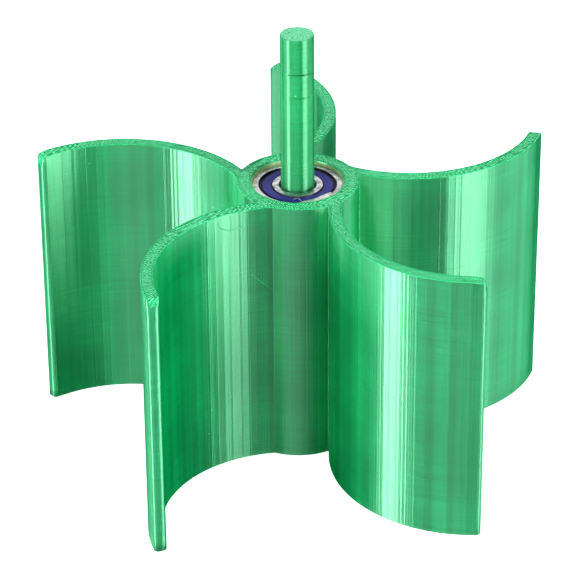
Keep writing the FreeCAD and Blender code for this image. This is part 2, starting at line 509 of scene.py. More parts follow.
@dataclass(frozen=True)
class GroundSteel:
    """Hardened bearing steel, turned and ground, with scuffs from handling.

    Rings of fine grinding marks run round the axis, so highlights pull out across them, and
    the dull patches are where the face has been scuffed.
    """

    name: str = "ground_bearing_steel"
    steel: str = "#d8d8da"
    dull: str = "#8b8c90"
    roughness: float = 0.3
    mark_width: float = 0.12
    mark_depth: float = 0.004
    scuff_size: float = 1.6

    def make(self) -> bpy.types.Material:
        """Build the material on object coordinates, round the shaft's axis.

        Returns:
            The material.
        """
        material, tree = new_material(self.name)
        place = add_node(tree, "ShaderNodeTexCoord")
        flat = add_node(tree, "ShaderNodeVectorMath", {"operation": "MULTIPLY"},
                        {0: place.outputs["Object"], 1: (1, 1, 0)})
        radius = add_node(tree, "ShaderNodeVectorMath", {"operation": "LENGTH"}, {0: flat.outputs[0]})
        marks = add_node(tree, "ShaderNodeTexNoise", {"noise_dimensions": "1D"},
                         {"W": radius.outputs["Value"], "Scale": 1 / (self.mark_width * MM), "Detail": 2.0})
        scuffs = add_node(tree, "ShaderNodeTexNoise", inputs={
            "Vector": place.outputs["Object"], "Scale": 1 / (self.scuff_size * MM), "Detail": 5.0,
            "Roughness": 0.7})
        patch = add_node(tree, "ShaderNodeMapRange", inputs={0: scuffs.outputs[0], 1: 0.42, 2: 0.68})
        colour = add_node(tree, "ShaderNodeMix", {"data_type": "RGBA"},
                          {"Factor": patch.outputs[0], "A": linear(self.steel), "B": linear(self.dull)})
        rough = add_node(tree, "ShaderNodeMapRange",
                         inputs={0: scuffs.outputs[0], 1: 0.3, 2: 0.75,
                                 3: self.roughness - 0.08, 4: self.roughness + 0.22})
        bump = add_node(tree, "ShaderNodeBump", inputs={"Strength": 0.6, "Distance": self.mark_depth * MM,
                                                        "Height": marks.outputs[0]})
        around = add_node(tree, "ShaderNodeTangent", {"direction_type": "RADIAL", "axis": "Z"})
        shader = add_node(tree, "ShaderNodeBsdfPrincipled", inputs={
            "Base Color": colour.outputs["Result"], "Metallic": 1.0, "Roughness": rough.outputs[0],
            "Anisotropic": 0.5, "Normal": bump.outputs[0], "Tangent": around.outputs[0]})
        add_node(tree, "ShaderNodeOutputMaterial", inputs={0: shader.outputs[0]})
        return material


@dataclass(frozen=True)
class PolishedSteel:
    """Lapped ball steel or bright pressed strip: near a mirror, a little greasy."""

    name: str
    steel: str
    roughness: float
    film_grain: float = 10 / 9
    film_depth: float = 0.003

    def make(self) -> bpy.types.Material:
        """Build the material, with a thin uneven film of grease in the roughness.

        Returns:
            The material.
        """
        material, tree = new_material(self.name)
        place = add_node(tree, "ShaderNodeTexCoord")
        film = add_node(tree, "ShaderNodeTexNoise", inputs={
            "Vector": place.outputs["Object"], "Scale": 1 / (self.film_grain * MM), "Detail": 3.0})
        rough = add_node(tree, "ShaderNodeMapRange", inputs={0: film.outputs[0], 3: self.roughness * 0.6,
                                                             4: self.roughness * 1.6})
        bump = add_node(tree, "ShaderNodeBump", inputs={"Strength": 0.3, "Distance": self.film_depth * MM,
                                                        "Height": film.outputs[0]})
        shader = add_node(tree, "ShaderNodeBsdfPrincipled", inputs={
            "Base Color": linear(self.steel), "Metallic": 1.0, "Roughness": rough.outputs[0],
            "Normal": bump.outputs[0]})
        add_node(tree, "ShaderNodeOutputMaterial", inputs={0: shader.outputs[0]})
        return material


@dataclass(frozen=True)
class SealRubber:
    """Nitrile rubber moulded on a washer: indigo face, with rim and lip painted nearly black as painted shade
    of the gaps beside the rings.

    A soft sheen with the fine matte grain of the mould.
    """

    face_inner: float
    face_outer: float
    name: str = "moulded_nitrile_rubber"
    face: str = "#38388f"
    # nearly black: painted shade of the gaps beside the rings, on rim and lip
    rim: str = "#0d0d20"
    roughness: float = 0.42
    ior: float = 1.42
    grain: float = 0.18
    grain_depth: float = 0.01
    cloud_size: float = 3.0
    colour_step: float = 0.12         # width over which the colour changes at lip and rim

    def make(self) -> bpy.types.Material:
        """Build the material on object coordinates; the rim and lip, painted dark as painted shade, are told
        by their radius.

        Returns:
            The material.
        """
        material, tree = new_material(self.name)
        place = add_node(tree, "ShaderNodeTexCoord")
        flat = add_node(tree, "ShaderNodeVectorMath", {"operation": "MULTIPLY"},
                        {0: place.outputs["Object"], 1: (1, 1, 0)})
        radius = add_node(tree, "ShaderNodeVectorMath", {"operation": "LENGTH"}, {0: flat.outputs[0]})
        low, high, soft = self.face_inner * MM, self.face_outer * MM, self.colour_step * MM
        clear_of_lip_shade = add_node(tree, "ShaderNodeMapRange",
                            inputs={0: radius.outputs["Value"], 1: low, 2: low + soft})
        clear_of_rim_shade = add_node(tree, "ShaderNodeMapRange",
                          inputs={0: radius.outputs["Value"], 1: high, 2: high + soft, 3: 1.0, 4: 0.0})
        inside = add_node(tree, "ShaderNodeMath", {"operation": "MULTIPLY"},
                          {0: clear_of_lip_shade.outputs[0], 1: clear_of_rim_shade.outputs[0]})
        grain = add_node(tree, "ShaderNodeTexNoise", inputs={"Vector": place.outputs["Object"],
                                                             "Scale": 1 / (self.grain * MM), "Detail": 3.0})
        cloud = add_node(tree, "ShaderNodeTexNoise", inputs={
            "Vector": place.outputs["Object"], "Scale": 1 / (self.cloud_size * MM), "Detail": 2.0})
        shade = add_node(tree, "ShaderNodeMapRange", inputs={0: cloud.outputs[0], 3: 0.75, 4: 1.2})
        indigo = add_node(tree, "ShaderNodeMix", {"data_type": "RGBA", "blend_type": "MULTIPLY"},
                          {"Factor": 1.0, "A": linear(self.face), "B": shade.outputs[0]})
        # painted shade: nearly black outside the face, on lip and rim
        colour = add_node(tree, "ShaderNodeMix", {"data_type": "RGBA"},
                          {"Factor": inside.outputs[0], "A": linear(self.rim), "B": indigo.outputs["Result"]})
        bump = add_node(tree, "ShaderNodeBump", inputs={"Strength": 0.5, "Distance": self.grain_depth * MM,
                                                        "Height": grain.outputs[0]})
        shader = add_node(tree, "ShaderNodeBsdfPrincipled", inputs={
            "Base Color": colour.outputs["Result"], "Roughness": self.roughness, "IOR": self.ior,
            "Normal": bump.outputs[0]})
        add_node(tree, "ShaderNodeOutputMaterial", inputs={0: shader.outputs[0]})
        return material


@dataclass(frozen=True)
class HardGlue:
    """Cyanoacrylate that ran and set: half clear, yellowish, wet-looking, clouded in places."""

    name: str
    clear: str
    cloudy: str
    passes_light: float
    roughness: float = 0.28
    ior: float = 1.49
    cloud_size: float = 0.9
    relief: float = 0.05

    def make(self) -> bpy.types.Material:
        """Build the material on object coordinates.

        Returns:
            The material.
        """
        material, tree = new_material(self.name)
        place = add_node(tree, "ShaderNodeTexCoord")
        cloud = add_node(tree, "ShaderNodeTexNoise", inputs={
            "Vector": place.outputs["Object"], "Scale": 1 / (self.cloud_size * MM), "Detail": 4.0})
        patch = add_node(tree, "ShaderNodeMapRange", inputs={0: cloud.outputs[0], 1: 0.4, 2: 0.65})
        colour = add_node(tree, "ShaderNodeMix", {"data_type": "RGBA"},
                          {"Factor": patch.outputs[0], "A": linear(self.clear), "B": linear(self.cloudy)})
        bump = add_node(tree, "ShaderNodeBump", inputs={"Strength": 0.7, "Distance": self.relief * MM,
                                                        "Height": cloud.outputs[0]})
        shader = add_node(tree, "ShaderNodeBsdfPrincipled", inputs={
            "Base Color": colour.outputs["Result"], "Roughness": self.roughness, "IOR": self.ior,
            "Transmission Weight": self.passes_light, "Normal": bump.outputs[0]})
        add_node(tree, "ShaderNodeOutputMaterial", inputs={0: shader.outputs[0]})
        return material


# ---------------------------------------------------------------------------- the rotor


@dataclass(frozen=True)
class BladePlan:
    """Plan view of hub and blades: circular arcs joined by small rounds, and the tips' corners."""

    blades: int = 5
    hub: float = 14.35
    half_thickness: float = 1.5
    bend: float = 32.1
    reach: float = 43.5
    first_azimuth: float = 195.4
    tip_angle: float = 112.7
    tip_round: float = 1.0
    tip_corner: float = 2.0           # the tips' corners seen from the side, at top and bottom
    root_round: float = 0.25
    facet: float = 3.6                # degrees; the print keeps the flats of its model
    wobble: float = 0.012             # how far a flat's edge strays from the true arc

    def azimuth(self, blade: int) -> float:
        """Return the direction, in radians, from the axis to a blade's bend centre."""
        return math.radians(self.first_azimuth + blade * 360 / self.blades)

    def centre(self, blade: int) -> np.ndarray:
        """Return the point that a blade is bent about."""
        return polar(self.reach, self.azimuth(blade))

    def on_face(self, blade: int, side: Side, angle: np.ndarray, height: np.ndarray,
                clear: float | np.ndarray) -> np.ndarray:
        """Find points just off a blade's broad face.

        Args:
            blade: number of the blade.
            side: which face.
            angle: degrees round the bend centre, from the line to the axis.
            height: heights above the floor.
            clear: distance off the face.

        Returns:
            (n, 3) points.
        """
        out = self.half_thickness + clear
        radius = self.bend + (out if side is Side.CONVEX else -out)
        turn = self.azimuth(blade) + math.pi + np.radians(angle)
        flat = self.centre(blade) + (radius * np.stack([np.cos(turn), np.sin(turn)])).T
        return np.concatenate([flat, np.broadcast_to(height, turn.shape)[:, None]], 1)

    def outline(self, inset: float) -> tuple[np.ndarray, np.ndarray]:
        """Work out the closed outline of hub and blades, moved inwards by an inset.

        Every stretch of the outline is a circular arc, so its inset is an arc about the same
        centre with its radius changed by the inset. Each stretch keeps its number of points, so
        loops at different insets match point for point. Outlines run anticlockwise.

        Args:
            inset: distance inwards.

        Returns:
            (n, 2) points, and (n,) booleans that say which points start a flat.
        """
        convex = self.bend + self.half_thickness
        hollow = self.bend - self.half_thickness
        tip = math.radians(self.tip_angle)
        small = self.tip_round
        convex_end = tip - math.asin(small / (convex - small))
        hollow_end = tip - math.asin(small / (hollow + small))
        convex_root, convex_hub = self.root(convex + self.root_round)
        hollow_root, hollow_hub = self.root(hollow - self.root_round)
        flats = round(math.degrees(convex_end - convex_root) / self.facet)
        stray = np.random.default_rng(11).normal(0, self.wobble, (2, flats + 1))
        loops, marks = [], []

        def arc(middle: np.ndarray, radius: float | np.ndarray, start: float, end: float, count: int,
                flat: bool = False) -> None:
            """Add a circular arc to the outline.

            Args:
                middle: the arc's centre.
                radius: its radius, or one for each point.
                start: direction of its first point, in radians.
                end: direction of its last point.
                count: number of points.
                flat: its steps are flats of the print, so they are not shaded round.
            """
            turn = np.linspace(start, end, count)
            loops.append(middle + (radius * np.array([np.cos(turn), np.sin(turn)])).T)
            marks.append(np.full(count, flat))

        for blade in range(self.blades):
            a = self.azimuth(blade)
            c = self.centre(blade)
            base = a + math.pi
            tip_face = base + tip + math.pi / 2
            arc(c + polar(convex + self.root_round, base + convex_root), self.root_round + inset,
                a - convex_hub + math.pi, base + convex_root - math.pi, 6)
            arc(c, convex - inset + stray[0], base + convex_root, base + convex_end, flats + 1, True)
            arc(c + polar(convex - small, base + convex_end), small - inset, base + convex_end, tip_face, 8)
            arc(c + polar(hollow + small, base + hollow_end), small - inset, tip_face,
                base + hollow_end + math.pi, 8)
            arc(c, hollow + inset + stray[1], base + hollow_end, base + hollow_root, flats + 1, True)
            start, end = base + hollow_root, a - hollow_hub + math.pi
            arc(c + polar(hollow - self.root_round, start), self.root_round + inset, start,
                end - 2 * math.pi if end > start else end, 6)
            hub_end = a + 2 * math.pi / self.blades - convex_hub
            arc(np.zeros(2), self.hub - inset, a - hollow_hub, hub_end, 14, True)
        return np.concatenate(loops), np.concatenate(marks)

    def tip_drop(self, points: np.ndarray) -> np.ndarray:
        """Work out how far the top and bottom edges pull in at the blades' tips.

        Seen square to a blade, each tip corner is a quarter circle, so a point that lies a
        distance short of the tip pulls in by the circle's radius less its height there.

        Args:
            points: (n, 2) plan points of an outline.

        Returns:
            (n,) distances down from the top, or up from the bottom.
        """
        drop = np.zeros(len(points))
        size = self.tip_corner
        for blade in range(self.blades):
            away = points - self.centre(blade)
            reach = np.linalg.norm(away, axis=1)
            turn = np.arctan2(away[:, 1], away[:, 0]) - self.azimuth(blade) - math.pi
            short = (math.radians(self.tip_angle) - np.angle(np.exp(1j * turn))) * reach
            near = (np.abs(reach - self.bend) < self.half_thickness + 0.1) & (np.abs(short) < size)
            into = np.where(near, size - np.clip(short, 0, size), 0)
            drop += size - np.sqrt(size**2 - into**2)
        return drop

    def root(self, radius: float) -> tuple[float, float]:
        """Find a root round's centre: on a circle about the bend centre and one about the axis.

        Both angles come from the triangle of axis, bend centre and round centre, by the cosine rule.

        Args:
            radius: distance of the round's centre from the bend centre.

        Returns:
            The angle at the bend centre and the angle at the axis, in radians.
        """
        ring = self.hub + self.root_round
        at_bend = math.acos((self.reach**2 + radius**2 - ring**2) / (2 * self.reach * radius))
        at_axis = math.acos((self.reach**2 + ring**2 - radius**2) / (2 * self.reach * ring))
        return at_bend, at_axis


@dataclass
class PrintedRotor:
    """Hub and blades, one print: walls of stacked layers, two rounded beads along the top edges."""

    plan: BladePlan = field(default_factory=BladePlan)
    bead: float = 0.45
    bead_height: float = 0.16
    first_layer: float = 0.25
    bead_start: float = 0.2           # the walls stop this far below the top, where the beads begin
    seat_clearance: float = 0.03
    bore: float = 9.75
    bore_segments: int = 100
    wall_margin: float = 8.0          # plain height left above and below the evenly spaced rows
    wall_rows: int = 9

    def build(self, walls: bpy.types.Material, ends: bpy.types.Material,
              beads: bpy.types.Material) -> None:
        """Build the rotor and put it on its body.

        Args:
            walls: finish of the upright faces.
            ends: finish of the level faces.
            beads: finish of the two beads along the top edges.
        """
        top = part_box("rotor")[1].z / MM
        shell = Shell()
        rim = self._rim(top)
        # a guard row past each tip corner keeps the wall's shading level between them
        guard = self.plan.tip_corner + 0.4
        wall_top = top - self.bead_start
        heights = np.concatenate([
            [self.first_layer, self.first_layer + guard],
            np.linspace(self.wall_margin, top - self.wall_margin, self.wall_rows),
            [wall_top - guard, wall_top]])
        foot = np.array([[2 * self.bead, 0.0], [self.first_layer, 0.0]])
        wall = np.stack([np.zeros_like(heights), heights], 1)
        profile = np.concatenate([foot, wall, rim])
        outer = self._skin(shell, profile, len(foot) - 1, len(foot) + len(wall) - 1)
        inner = self._bore(shell, rim, wall_top)
        self._cap(shell, outer[-1], inner[0], 1.0)
        self._cap(shell, outer[0], inner[-1], -1.0)
        settle(shell.build("rotor_print", [walls, ends, beads]), "rotor", "green_plastic", "rotor")

    def _rim(self, top: float) -> np.ndarray:
        """Work out the profile of the two beads along the top edge.

        Across each bead the sine of a half turn is raised to the power 0.7. The height is the
        top less the bead's height times what that is short of one, so beads meet in a groove.

        Args:
            top: height of the beads' crests.

        Returns:
            (n, 2) insets and heights.
        """
        across = np.linspace(0.0, 2.0, 13)
        lift = np.abs(np.sin(np.pi * across)) ** 0.7
        lift[0] = 0.0
        height = top - self.bead_height * (1 - lift)
        return np.stack([across * self.bead, height], 1)[1:]

    def _skin(self, shell: Shell, profile: np.ndarray, wall_start: int, wall_end: int) -> np.ndarray:
        """Carry a profile round the outline of hub and blades.

        Rows below the walls' middle rise at the blades' tips and rows above it sink, by the drop
        that the plan gives; the rows of the wall between its first and last one stay level.

        Args:
            shell: the mesh to add to.
            profile: (n, 2) insets and heights, from the foot up.
            wall_start: row of the profile that the wall starts at.
            wall_end: row that it ends at.

        Returns:
            (n, points of the outline) vertex numbers.
        """
        base, flats = self.plan.outline(0)
        middle = profile[:, 1].mean()
        rows = []
        for row, (inset, height) in enumerate(profile):
            plan = self.plan.outline(inset)[0]
            edge = 0 if wall_start < row < wall_end else math.copysign(1, middle - height)
            rows.append(np.column_stack([plan, height + edge * self.plan.tip_drop(plan)]))
        grid = np.stack(rows)
        steps = np.linalg.norm(np.roll(base, -1, 0) - base, axis=1)
        along = np.concatenate([[0], np.cumsum(steps)])
        climb = np.concatenate([profile[:, 1], [0]])
        uv = np.stack(np.meshgrid(along, climb, indexing="xy"), -1)
        finish = np.full((len(profile) - 1, len(base)), Surface.ENDS)
        finish[wall_start:wall_end] = Surface.WALLS
        finish[wall_end : wall_end + (len(profile) - wall_end) // 2] = Surface.BEADS
        flat = flats & np.roll(flats, -1)
        smooth = np.ones_like(finish, bool)
        smooth[wall_start:wall_end] = ~flat
        return shell.add_grid(grid, uv, finish, smooth)

    def _bore(self, shell: Shell, rim: np.ndarray, wall_top: float) -> np.ndarray:
        """Add the hole through the hub: a seat for each bearing and a narrower stretch between.

        Args:
            shell: the mesh to add to.
            rim: (n, 2) insets and heights of the beads along the top edge.
            wall_top: height that the beads start from.

        Returns:
            (n, bore_segments) vertex numbers, from the top down.
        """
        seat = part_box("upper_bearing_outer_ring")[1].x / MM + self.seat_clearance
        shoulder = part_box("upper_bearing_outer_ring")[0].z / MM
        low_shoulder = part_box("lower_bearing_outer_ring")[1].z / MM
        bore = np.concatenate([
            rim[::-1] + [seat, 0],
            [[seat, wall_top], [seat, shoulder], [self.bore, shoulder], [self.bore, low_shoulder],
             [seat, low_shoulder], [seat, self.first_layer], [seat + self.first_layer, 0.0],
             [seat + 2 * self.bead, 0.0]]])
        grid = ring_grid(bore, self.bore_segments)
        run = np.concatenate([[0], np.cumsum(np.linalg.norm(np.diff(bore, axis=0), axis=1)), [0]])
        around = np.linspace(0, 2 * np.pi * seat, self.bore_segments + 1)
        uv = np.stack(np.meshgrid(around, -run, indexing="xy"), -1)
        finish = np.full((len(bore) - 1, self.bore_segments), Surface.WALLS)
        finish[: len(rim)] = Surface.ENDS
        finish[len(rim) // 2 : len(rim)] = Surface.BEADS
        finish[-1] = Surface.ENDS
        return shell.add_grid(grid, uv, finish, True)

    @staticmethod
    def _cap(shell: Shell, outer: np.ndarray, inner: np.ndarray, facing: float) -> None:
        """Fill the level face between the outline and the bore.

        Args:
            shell: the mesh to add to.
            outer: vertex numbers of the outline.
            inner: vertex numbers of the bore's edge.
            facing: 1 for a face that looks up, -1 for one that looks down.
        """
        points = np.concatenate(shell.points)
        loops = [outer, inner]
        flat = [[Vector(points[i]) for i in loop] for loop in loops]
        ids = np.concatenate(loops)
        made = np.array(tessellate_polygon(flat))
        triangles = ids[made]
        a, b, c = (points[triangles[:, i], :2] for i in range(3))
        turn = (b[:, 0] - a[:, 0]) * (c[:, 1] - a[:, 1]) - (b[:, 1] - a[:, 1]) * (c[:, 0] - a[:, 0])
        wrong = turn * facing < 0
        triangles[wrong] = triangles[wrong][:, ::-1]
        shell.add_triangles(triangles[np.abs(turn) > 1e-9], Surface.ENDS)


# ---------------------------------------------------------------------------- the shaft


@dataclass
class PrintedShaft:
    """Plain printed bar, with two cracks between its layers and rings of bead on its top."""

    relief_depth: float = 0.25
    relief_base: float = 66.2
    relief_top: float = 67.3
    edge: float = 0.3
    plain_rows: tuple[float, ...] = (20.0, 40.0, 75.0, 83.0)
    crack_below_top: tuple[float, float] = (8.8, 14.8)
    crack_depth: tuple[float, float] = (0.7, 0.35)
    crack_height: float = 0.17
    crack_turn: float = 0.2           # radians from the front to the middle of both cracks
    crack_spread: float = 0.65
    crown_shares: tuple[float, ...] = (0.985, 0.955, 0.92)   # of the bar's radius, up over the edge
    crown_drops: tuple[float, ...] = (0.45, 0.15, 0.0)
    lump_turn: float = 0.75           # radians from the right to a lump where the last layer began
    lump_spread: float = 0.35
    lump_on_edge: float = 0.2
    lump_on_crown: float = 0.22
    ring_pitch: float = 0.95
    ring_depth: float = 0.05
    ring_wobble: float = 0.03
    ring_step: float = 0.14
    segments: int = 120

    def build(self, walls: bpy.types.Material, ends: bpy.types.Material) -> None:
        """Build the shaft and put it on its body.

        Args:
            walls: finish of the bar.
            ends: finish of its top and foot.
        """
        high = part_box("shaft")[1]
        radius, top = high.x / MM, high.z / MM
        angle = np.arange(self.segments) * 2 * np.pi / self.segments
        lump = np.exp(-((np.angle(np.exp(1j * (angle - self.lump_turn)))) / self.lump_spread) ** 2)
        levels = self._levels(top)
        bar = self._bar(radius, top, levels, angle)
        bar[-1] += self.lump_on_edge * lump
        flat = np.ones(self.segments)
        crown = radius * np.array(self.crown_shares)[:, None] * flat
        crown[:2] += self.lump_on_crown * lump
        crown_height = top - self.edge * np.array(self.crown_drops)[:, None] * flat
        rings = np.arange(radius * 0.86, 0.15, -self.ring_step)
        face = rings[:, None] * flat
        # the top's rings of bead are a cosine of the radius
        face_height = top - self.ring_depth * (0.5 - 0.5 * np.cos(2 * np.pi * rings / self.ring_pitch))
        face_height = face_height[:, None] - self.ring_wobble * (1 + ripple(angle, 5)) * 0.5
        heights = np.broadcast_to(levels[:, None], bar.shape)
        radii = np.concatenate([bar, crown, face])
        z = np.concatenate([heights, crown_height, face_height])
        grid = np.stack([radii * np.cos(angle), radii * np.sin(angle), z], -1)
        around = np.linspace(0, 2 * np.pi * radius, self.segments + 1)
        climb = np.concatenate([levels, top + np.arange(len(radii) - len(levels) + 1.0)])
        uv = np.stack(np.meshgrid(around, climb, indexing="xy"), -1)
        finish = np.full((len(radii) - 1, self.segments), Surface.WALLS)
        finish[len(levels) + 1 :] = Surface.ENDS
        shell = Shell()
        index = shell.add_grid(grid, uv, finish, True)
        shell.add_pole(index[-1], (0, 0, top - self.ring_depth), Surface.ENDS)
        shell.add_pole(index[0][::-1], (0, 0, 0), Surface.ENDS)
        settle(shell.build("shaft_print", [walls, ends], crease=40), "shaft", "shaft_plastic", "shaft")

    def _levels(self, top: float) -> np.ndarray:
        """Choose the heights of the bar's rows of points.

        A guard row just outside each feature keeps the shading of the plain bar flat.

        Args:
            top: height of the bar's top.

        Returns:
            (n,) heights, from the foot up.
        """
        start, end = self.relief_base, self.relief_top
        levels = [0.0, self.edge, self.edge + 0.1, *self.plain_rows, start - 0.1, start - 0.01, start,
                  end, end + 0.01, end + 0.1]
        for drop in self.crack_below_top:
            levels += [top - drop + d * self.crack_height for d in (-2.0, -1.0, -0.4, 0.4, 1.0, 2.0)]
        levels += [top - 4, top - self.edge - 0.1, top - self.edge]
        return np.array(sorted(levels))

    def _bar(self, radius: float, top: float, levels: np.ndarray, angle: np.ndarray) -> np.ndarray:
        """Work out the bar's radius at each height and angle.

        A crack takes away a depth that falls off in a straight line with height and as a bell
        curve round the bar.

        Args:
            radius: the plain bar's radius.
            top: height of the bar's top.
            levels: (n,) heights.
            angle: (m,) angles in radians.

        Returns:
            (n, m) radii.
        """
        bar = np.full((len(levels), len(angle)), radius)
        bar[0] = radius - self.edge
        relief = (levels > self.relief_base - 0.005) & (levels < self.relief_top + 0.005)
        bar[relief] = radius - self.relief_depth
        facing = np.angle(np.exp(1j * (angle + math.pi / 2)))
        reach = np.exp(-((facing - self.crack_turn) / self.crack_spread) ** 2)
        for drop, depth in zip(self.crack_below_top, self.crack_depth):
            near = np.clip(1.6 - 1.6 * np.abs(levels - (top - drop)) / self.crack_height, 0, 1)
            bar -= depth * near[:, None] * reach
        return bar


# ---------------------------------------------------------------------------- bearings


@dataclass
class SealedBearing:
    """8 x 22 x 7 deep groove ball bearing with a moulded seal on each side."""

    place: Place
    outer_shoulder: float = 9.2
    inner_shoulder: float = 6.0
    bore: float = 4.0
    seal_depth: float = 0.25
    seal_face_outer: float = 8.3
    seal_groove: tuple[float, float] = (0.46, 0.96)   # how far below the ring's face it starts and ends
    seal_groove_depth: float = 0.3
    rim_round: float = 0.3
    ball: float = 3.969
    ball_clearance: float = 0.03
    groove_share: float = 0.52        # the ball groove's radius over the ball's diameter
    segments: int = 160

    def _name(self, piece: str) -> str:
        """Return the CAD node name of one of this bearing's pieces."""
        return f"{self.place.value}_bearing_{piece}"

    def build(self, steel: bpy.types.Material, rubber: bpy.types.Material, balls: bpy.types.Material,
              cage: bpy.types.Material) -> None:
        """Build the rings and seals, and dress the balls and cage that they hide.

        Args:
            steel: finish of both rings.
            rubber: finish of both seals.
            balls: finish of the balls.
            cage: finish of the cage halves.
        """
        low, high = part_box(self._name("outer_ring"))
        base, width, outside = low.z / MM, (high.z - low.z) / MM, high.x / MM
        self._ring("outer_ring", "rotor", self._outer_profile(outside, width), base, steel)
        self._ring("inner_ring", "shaft", self._inner_profile(width), base, steel)
        self._ring("top_seal", "rotor", self._seal_profile(width), base, rubber, "seal_rubber")
        under = self._seal_profile(width)
        under[:, 1] = width - under[:, 1]
        self._ring("bottom_seal", "rotor", under[::-1], base, rubber, "seal_rubber")
        self._dress("ball", balls)
        self._dress("cage", cage)
        log.info("%s bearing dressed", self.place.value)

    def _dress(self, kind: str, finish: bpy.types.Material) -> None:
        """Give the CAD nodes of one kind a finish.

        Args:
            kind: how their names go on after the bearing's own.
            finish: their material.
        """
        for name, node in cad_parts.items():
            if name.startswith(self._name(kind)):
                node.data.materials.clear()
                node.data.materials.append(finish)

    def _ring(self, part: str, body: str, profile: np.ndarray, base: float, finish: bpy.types.Material,
              slot: str = "bearing_steel") -> None:
        """Turn one closed profile into a ring and put it on its body.

        Args:
            part: which piece of the bearing.
            body: the body that it moves with.
            profile: (n, 2) radii and heights, running so that the right side is outside.
            base: height of the bearing's lower face.
            finish: its material.
            slot: its material slot in the record.
        """
        shell = Shell()
        shell.add_grid(ring_grid(profile + [0, base], self.segments), None, 0, True, wrap_rows=True)
        piece = shell.build(self._name(part) + "_turned", [finish], crease=25)
        settle(piece, body, slot, self._name(part))

    def _groove(self, major: float, width: float, start: float, end: float) -> np.ndarray:
        """Work out a ball groove, an arc about a point at half the bearing's width.

        Args:
            major: radius of the arc's centre.
            width: the bearing's width.
            start: direction of its first point, in degrees.
            end: direction of its last point.

        Returns:
            (n, 2) radii and heights.
        """
        turn = np.radians(np.linspace(start, end, 14))
        radius = self.groove_share * self.ball
        return np.stack([major + radius * np.cos(turn), width / 2 + radius * np.sin(turn)], 1)

    def _outer_profile(self, outside: float, width: float) -> np.ndarray:
        """Work out the outer ring: rounded rims, flat faces, seal grooves and the ball groove.

        Args:
            outside: the ring's outer radius.
            width: its width.

        Returns:
            (n, 2) radii and heights.
        """
        shoulder = self.outer_shoulder
        pitch = (self.outer_shoulder + self.inner_shoulder) / 2
        groove = self.groove_share * self.ball
        major = pitch + self.ball / 2 + self.ball_clearance - groove
        reach = math.degrees(math.acos((shoulder - major) / groove))
        turn = np.radians(np.linspace(0, 90, 5))
        rim = self.rim_round
        top_rim = np.stack([outside - rim + rim * np.cos(turn), width - rim + rim * np.sin(turn)], 1)
        low_rim = top_rim[::-1] * [1, -1] + [0, width]
        groove_top, groove_low = (width - drop for drop in self.seal_groove)
        groove_wall = shoulder + self.seal_groove_depth
        top = np.array([[shoulder + 0.1, width], [shoulder, width - 0.1], [shoulder, groove_top],
                        [groove_wall, groove_top], [groove_wall, groove_low], [shoulder, groove_low]])
        low = top[::-1] * [1, -1] + [0, width]
        return np.concatenate([low_rim, top_rim, top, self._groove(major, width, reach, -reach), low])

    def _inner_profile(self, width: float) -> np.ndarray:
        """Work out the inner ring: broad bright chamfers at the bore and the ball groove outside.

        Args:
            width: the ring's width.

        Returns:
            (n, 2) radii and heights.
        """
        shoulder = self.inner_shoulder
        pitch = (self.outer_shoulder + self.inner_shoulder) / 2
        groove = self.groove_share * self.ball
        major = pitch - self.ball / 2 - self.ball_clearance + groove
        reach = math.degrees(math.acos((major - shoulder) / groove))
        low = np.array([[self.bore, 0.9], [self.bore + 0.32, 0.35], [self.bore + 0.46, 0.05],
                        [self.bore + 0.56, 0.0], [shoulder - 0.25, 0.0], [shoulder - 0.05, 0.08],
                        [shoulder, 0.25]])
        top = low[::-1] * [1, -1] + [0, width]
        return np.concatenate([low, self._groove(major, width, 180 + reach, 180 - reach), top])

    def _seal_profile(self, width: float) -> np.ndarray:
        """Work out a seal: lip, raised disc with a shallow moulded step, sunken rim and bead.

        Args:
            width: the bearing's width.

        Returns:
            (n, 2) radii and heights.
        """
        lip, top = self.inner_shoulder + 0.05, width - self.seal_depth
        face = self.seal_face_outer
        return np.array([
            [lip, top - 0.4], [lip + 0.2, top - 0.58], [8.7, top - 0.58], [9.0, top - 0.62],
            [9.44, top - 0.62], [9.46, top - 0.3], [9.1, top - 0.27], [face + 0.2, top - 0.25],
            [face + 0.05, top - 0.03], [face - 0.1, top], [lip + 1.0, top - 0.02], [lip + 0.85, top - 0.06],
            [lip + 0.3, top - 0.05], [lip + 0.15, top - 0.08], [lip, top - 0.18]])


